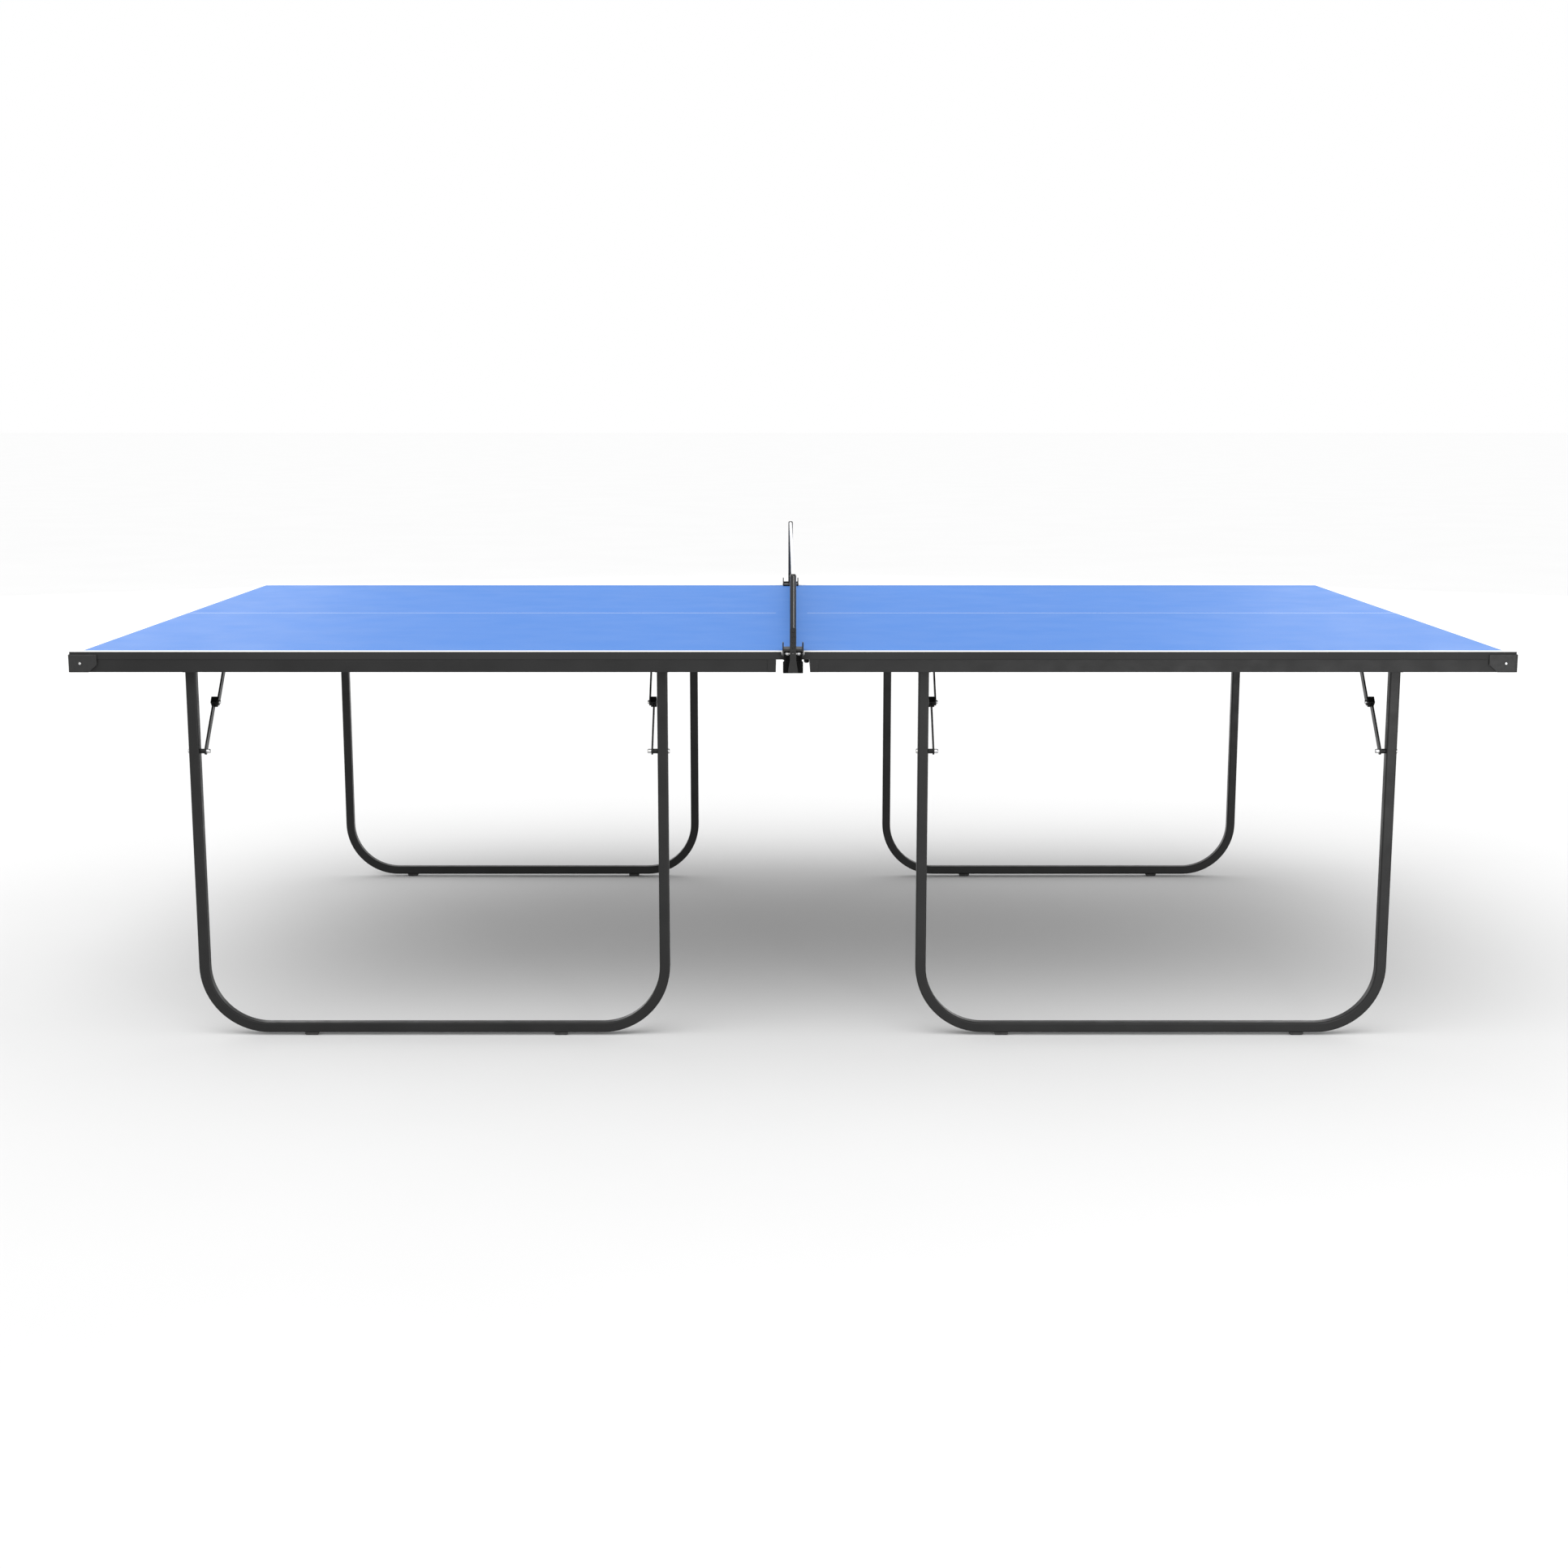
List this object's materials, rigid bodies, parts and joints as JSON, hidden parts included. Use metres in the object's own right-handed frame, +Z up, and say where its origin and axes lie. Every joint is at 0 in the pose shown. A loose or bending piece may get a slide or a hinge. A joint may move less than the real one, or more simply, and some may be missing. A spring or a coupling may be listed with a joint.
{
  "type": "ping pong table",
  "caption": "Ping pong table in two halves with a blue top, folding U legs with locking braces, corner guards and a clip-on net.",
  "frame": {"origin": "on the floor, under the middle of the net", "axes": "+X along the table, +Y across it along the net, +Z up"},
  "size_m": [2.7496, 1.5666, 0.922],
  "materials": {
    "playing_surface": "painted composite board, satin blue with white lines and black edge",
    "rail_paint": "powder-coated steel, fine satin black",
    "leg_paint": "powder-coated steel tube, satin black",
    "corner_plastic": "moulded ABS, fine grain, dark grey",
    "bracket_steel": "pressed steel, powder-coated black",
    "bolt_zinc": "bright zinc plate",
    "screw_zinc": "bright zinc plate",
    "foot_rubber": "black rubber",
    "link_paint": "flat steel bar, black",
    "lock_plastic": "black nylon",
    "stud_black": "blackened steel",
    "clip_paint": "pressed steel, satin black",
    "clip_rubber": "black rubber",
    "spring_zinc": "bright zinc-plated spring wire",
    "post_enamel": "gloss black enamel on steel tube",
    "netting": "black knotless polyester netting",
    "tape_cloth": "white woven cotton tape"
  },
  "bodies": {
    "left_half": {"left_board": "playing_surface", "left_side_rails": "rail_paint", "left_end_rail": "rail_paint", "left_centre_rail": "rail_paint", "left_corner_protectors": "corner_plastic", "left_screws": "screw_zinc", "left_leg_brackets": "bracket_steel", "left_brace_brackets": "bracket_steel", "left_pivot_bolts": "bolt_zinc", "left_joining_forks": "bracket_steel", "clip_upper_jaws": "clip_paint", "clip_upper_pads": "clip_rubber", "clip_pins": "spring_zinc", "clip_springs": "spring_zinc", "clip_thumb_plates": "clip_paint"},
    "right_half": {"right_board": "playing_surface", "right_side_rails": "rail_paint", "right_end_rail": "rail_paint", "right_centre_rail": "rail_paint", "right_corner_protectors": "corner_plastic", "right_screws": "screw_zinc", "right_leg_brackets": "bracket_steel", "right_brace_brackets": "bracket_steel", "right_pivot_bolts": "bolt_zinc", "right_joining_studs": "stud_black"},
    "near_left_leg": {"near_left_leg_frame": "leg_paint", "near_left_foot_pads": "foot_rubber", "near_left_brace_bolts": "bolt_zinc"},
    "near_left_lower_brace": {"near_left_lower_links": "link_paint"},
    "near_left_brace_lock": {"near_left_knee_locks": "lock_plastic"},
    "near_left_upper_brace": {"near_left_upper_links": "link_paint", "near_left_knee_bolts": "bolt_zinc"},
    "far_left_leg": {"far_left_leg_frame": "leg_paint", "far_left_foot_pads": "foot_rubber", "far_left_brace_bolts": "bolt_zinc"},
    "far_left_lower_brace": {"far_left_lower_links": "link_paint"},
    "far_left_brace_lock": {"far_left_knee_locks": "lock_plastic"},
    "far_left_upper_brace": {"far_left_upper_links": "link_paint", "far_left_knee_bolts": "bolt_zinc"},
    "near_right_leg": {"near_right_leg_frame": "leg_paint", "near_right_foot_pads": "foot_rubber", "near_right_brace_bolts": "bolt_zinc"},
    "near_right_lower_brace": {"near_right_lower_links": "link_paint"},
    "near_right_brace_lock": {"near_right_knee_locks": "lock_plastic"},
    "near_right_upper_brace": {"near_right_upper_links": "link_paint", "near_right_knee_bolts": "bolt_zinc"},
    "far_right_leg": {"far_right_leg_frame": "leg_paint", "far_right_foot_pads": "foot_rubber", "far_right_brace_bolts": "bolt_zinc"},
    "far_right_lower_brace": {"far_right_lower_links": "link_paint"},
    "far_right_brace_lock": {"far_right_knee_locks": "lock_plastic"},
    "far_right_upper_brace": {"far_right_upper_links": "link_paint", "far_right_knee_bolts": "bolt_zinc"},
    "near_clip_jaw": {"near_lower_jaw": "clip_paint", "near_lower_pad": "clip_rubber"},
    "far_clip_jaw": {"far_lower_jaw": "clip_paint", "far_lower_pad": "clip_rubber"},
    "net_set": {"net_posts": "post_enamel", "net_panel": "netting", "net_tape": "tape_cloth"}
  },
  "joints": [
    {"name": "halves_part", "type": "slide", "parent": "left_half", "child": "right_half", "axis": [1, 0, 0], "range_m": [0, 0.3]},
    {"name": "near_left_leg_fold", "type": "hinge", "parent": "left_half", "child": "near_left_leg", "pos_m": [-0.7, -0.726, 0.724], "axis": [1, 0, 0], "range_deg": [0, 90]},
    {"name": "near_left_lower_brace_turn", "type": "hinge", "parent": "near_left_leg", "child": "near_left_lower_brace", "pos_m": [-0.7, -0.726, 0.5638], "axis": [1, 0, 0], "range_deg": [0, 42.79]},
    {"name": "near_left_upper_brace_turn", "type": "hinge", "parent": "left_half", "child": "near_left_upper_brace", "pos_m": [-0.7, -0.5778, 0.724], "axis": [1, 0, 0], "range_deg": [-47.25, 0]},
    {"name": "near_left_brace_lock_slide", "type": "slide", "parent": "near_left_lower_brace", "child": "near_left_brace_lock", "axis": [0, -0.6791, -0.7341], "range_m": [0, 0.015], "stiffness_N_per_m": 150, "springref_m": -0.004},
    {"name": "far_left_leg_fold", "type": "hinge", "parent": "left_half", "child": "far_left_leg", "pos_m": [-0.7, 0.726, 0.724], "axis": [-1, 0, 0], "range_deg": [0, 90]},
    {"name": "far_left_lower_brace_turn", "type": "hinge", "parent": "far_left_leg", "child": "far_left_lower_brace", "pos_m": [-0.7, 0.726, 0.5638], "axis": [-1, 0, 0], "range_deg": [0, 42.79]},
    {"name": "far_left_upper_brace_turn", "type": "hinge", "parent": "left_half", "child": "far_left_upper_brace", "pos_m": [-0.7, 0.5778, 0.724], "axis": [-1, 0, 0], "range_deg": [-47.25, 0]},
    {"name": "far_left_brace_lock_slide", "type": "slide", "parent": "far_left_lower_brace", "child": "far_left_brace_lock", "axis": [0, 0.6791, -0.7341], "range_m": [0, 0.015], "stiffness_N_per_m": 150, "springref_m": -0.004},
    {"name": "near_right_leg_fold", "type": "hinge", "parent": "right_half", "child": "near_right_leg", "pos_m": [0.7, -0.726, 0.724], "axis": [1, 0, 0], "range_deg": [0, 90]},
    {"name": "near_right_lower_brace_turn", "type": "hinge", "parent": "near_right_leg", "child": "near_right_lower_brace", "pos_m": [0.7, -0.726, 0.5638], "axis": [1, 0, 0], "range_deg": [0, 42.79]},
    {"name": "near_right_upper_brace_turn", "type": "hinge", "parent": "right_half", "child": "near_right_upper_brace", "pos_m": [0.7, -0.5778, 0.724], "axis": [1, 0, 0], "range_deg": [-47.25, 0]},
    {"name": "near_right_brace_lock_slide", "type": "slide", "parent": "near_right_lower_brace", "child": "near_right_brace_lock", "axis": [0, -0.6791, -0.7341], "range_m": [0, 0.015], "stiffness_N_per_m": 150, "springref_m": -0.004},
    {"name": "far_right_leg_fold", "type": "hinge", "parent": "right_half", "child": "far_right_leg", "pos_m": [0.7, 0.726, 0.724], "axis": [-1, 0, 0], "range_deg": [0, 90]},
    {"name": "far_right_lower_brace_turn", "type": "hinge", "parent": "far_right_leg", "child": "far_right_lower_brace", "pos_m": [0.7, 0.726, 0.5638], "axis": [-1, 0, 0], "range_deg": [0, 42.79]},
    {"name": "far_right_upper_brace_turn", "type": "hinge", "parent": "right_half", "child": "far_right_upper_brace", "pos_m": [0.7, 0.5778, 0.724], "axis": [-1, 0, 0], "range_deg": [-47.25, 0]},
    {"name": "far_right_brace_lock_slide", "type": "slide", "parent": "far_right_lower_brace", "child": "far_right_brace_lock", "axis": [0, 0.6791, -0.7341], "range_m": [0, 0.015], "stiffness_N_per_m": 150, "springref_m": -0.004},
    {"name": "near_clip_open", "type": "hinge", "parent": "left_half", "child": "near_clip_jaw", "pos_m": [0, -0.7725, 0.758], "axis": [-1, 0, 0], "range_deg": [0, 14], "stiffness_Nm_per_rad": 2, "springref_deg": -17.19},
    {"name": "far_clip_open", "type": "hinge", "parent": "left_half", "child": "far_clip_jaw", "pos_m": [0, 0.7725, 0.758], "axis": [1, 0, 0], "range_deg": [0, 14], "stiffness_Nm_per_rad": 2, "springref_deg": -17.19},
    {"name": "net_height", "type": "slide", "parent": "left_half", "child": "net_set", "axis": [0, 0, 1], "range_m": [0, 0.02]}
  ],
  "couplings": [
    {"joint": "near_left_lower_brace_turn", "follows": "near_left_leg_fold", "ratio": 0.4752},
    {"joint": "near_left_upper_brace_turn", "follows": "near_left_leg_fold", "ratio": -0.5248},
    {"joint": "far_left_lower_brace_turn", "follows": "far_left_leg_fold", "ratio": 0.4752},
    {"joint": "far_left_upper_brace_turn", "follows": "far_left_leg_fold", "ratio": -0.5248},
    {"joint": "near_right_lower_brace_turn", "follows": "near_right_leg_fold", "ratio": 0.4752},
    {"joint": "near_right_upper_brace_turn", "follows": "near_right_leg_fold", "ratio": -0.5248},
    {"joint": "far_right_lower_brace_turn", "follows": "far_right_leg_fold", "ratio": 0.4752},
    {"joint": "far_right_upper_brace_turn", "follows": "far_right_leg_fold", "ratio": -0.5248}
  ]
}
